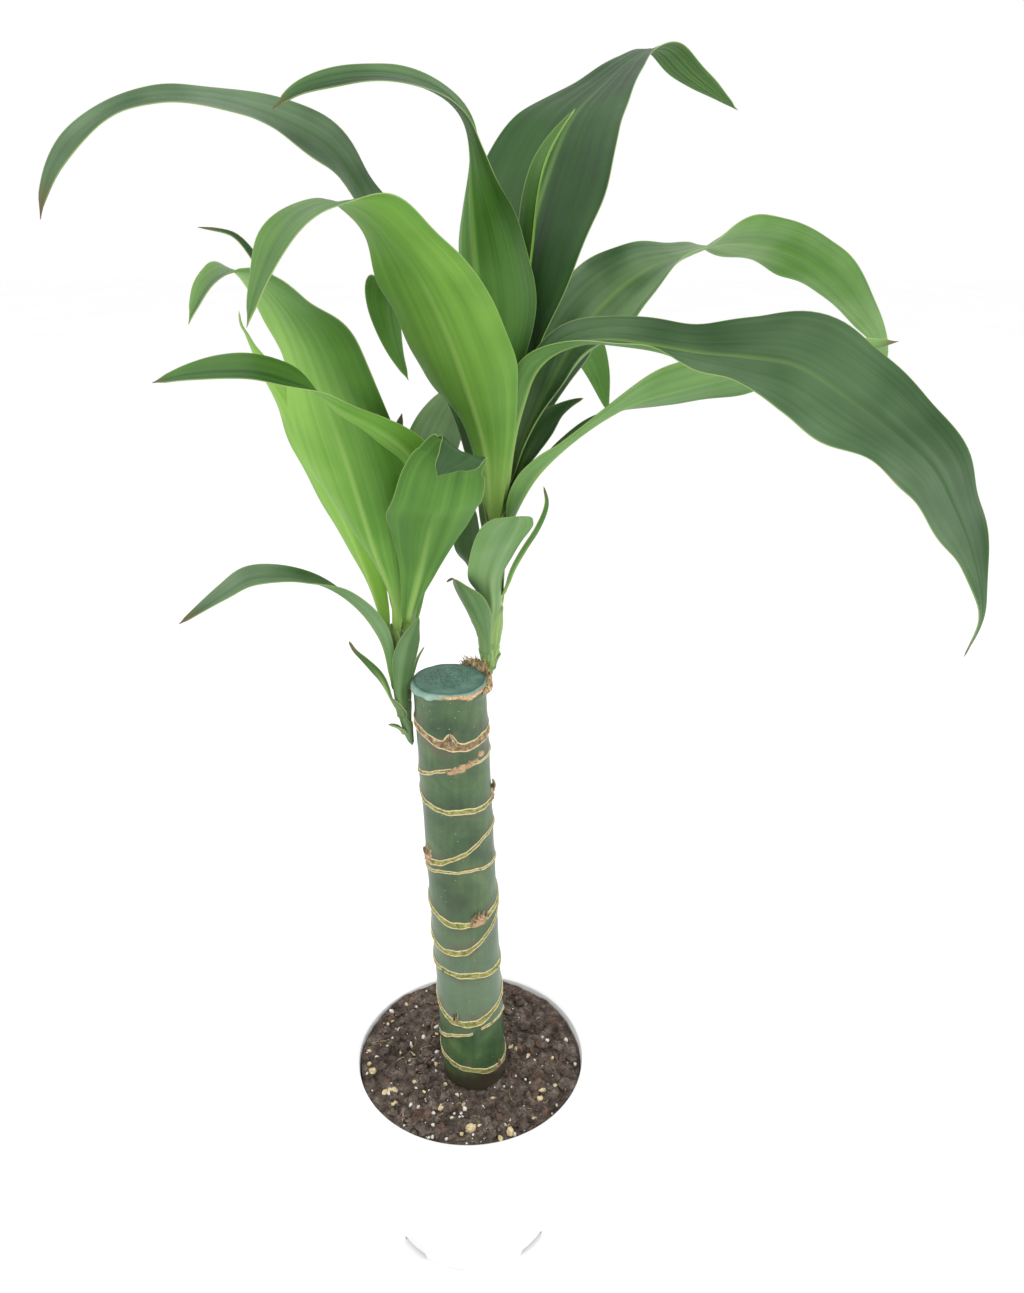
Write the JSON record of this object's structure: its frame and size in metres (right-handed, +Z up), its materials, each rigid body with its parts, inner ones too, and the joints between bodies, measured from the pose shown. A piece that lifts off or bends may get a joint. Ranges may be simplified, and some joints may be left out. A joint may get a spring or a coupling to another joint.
{
  "type": "potted corn plant",
  "caption": "Young corn plant in a round nursery pot: a thick ringed cane with a waxed cut, and two leafy shoots with long arching strap leaves.",
  "frame": {"origin": "centre of the pot's underside, on the surface the pot stands on", "axes": "+Z up along the pot's axis; -Y towards the viewer of the picture; +X to the right of that view"},
  "size_m": [0.336, 0.2551, 0.5732],
  "materials": {
    "pot": "smooth white injection-moulded plastic",
    "soil": "dark brown peat with pale perlite and fibres",
    "cane": "dark green bark with tan leaf scars",
    "wax": "teal sealing wax",
    "husk": "torn brown fibrous bark",
    "stem": "pale green living stem",
    "leaf": "satin green living leaf, darker and glossier above, paler beneath"
  },
  "bodies": {
    "root": {"pot": "pot", "soil": "soil", "cane": "cane", "wax_cap": "wax", "right_shoot_stem": "stem", "right_shoot_husk": "husk", "left_shoot_stem": "stem", "right_leaf_front_broad": "leaf", "right_leaf_tall_back": "leaf", "right_leaf_folded_spear": "leaf", "right_leaf_centre_arched": "leaf", "right_leaf_back_arched": "leaf", "right_leaf_front_long": "leaf", "right_leaf_low_straight": "leaf", "right_leaf_back_drooping": "leaf", "right_leaf_small_curled": "leaf", "right_leaf_rear": "leaf", "right_leaf_far_left": "leaf", "right_leaf_short_ragged": "leaf", "right_leaf_thin_hook": "leaf", "right_leaf_low_curled": "leaf", "right_leaf_narrow_rear": "leaf", "left_leaf_broad": "leaf", "left_leaf_broad_under": "leaf", "left_leaf_crossing": "leaf", "left_leaf_front_cupped": "leaf", "left_leaf_low_thin": "leaf", "left_leaf_sheath": "leaf", "left_leaf_whisker": "leaf", "left_leaf_small_back": "leaf", "left_leaf_dark_tip": "leaf", "left_leaf_rear_long": "leaf", "left_leaf_rear_right": "leaf"}
  },
  "joints": []
}
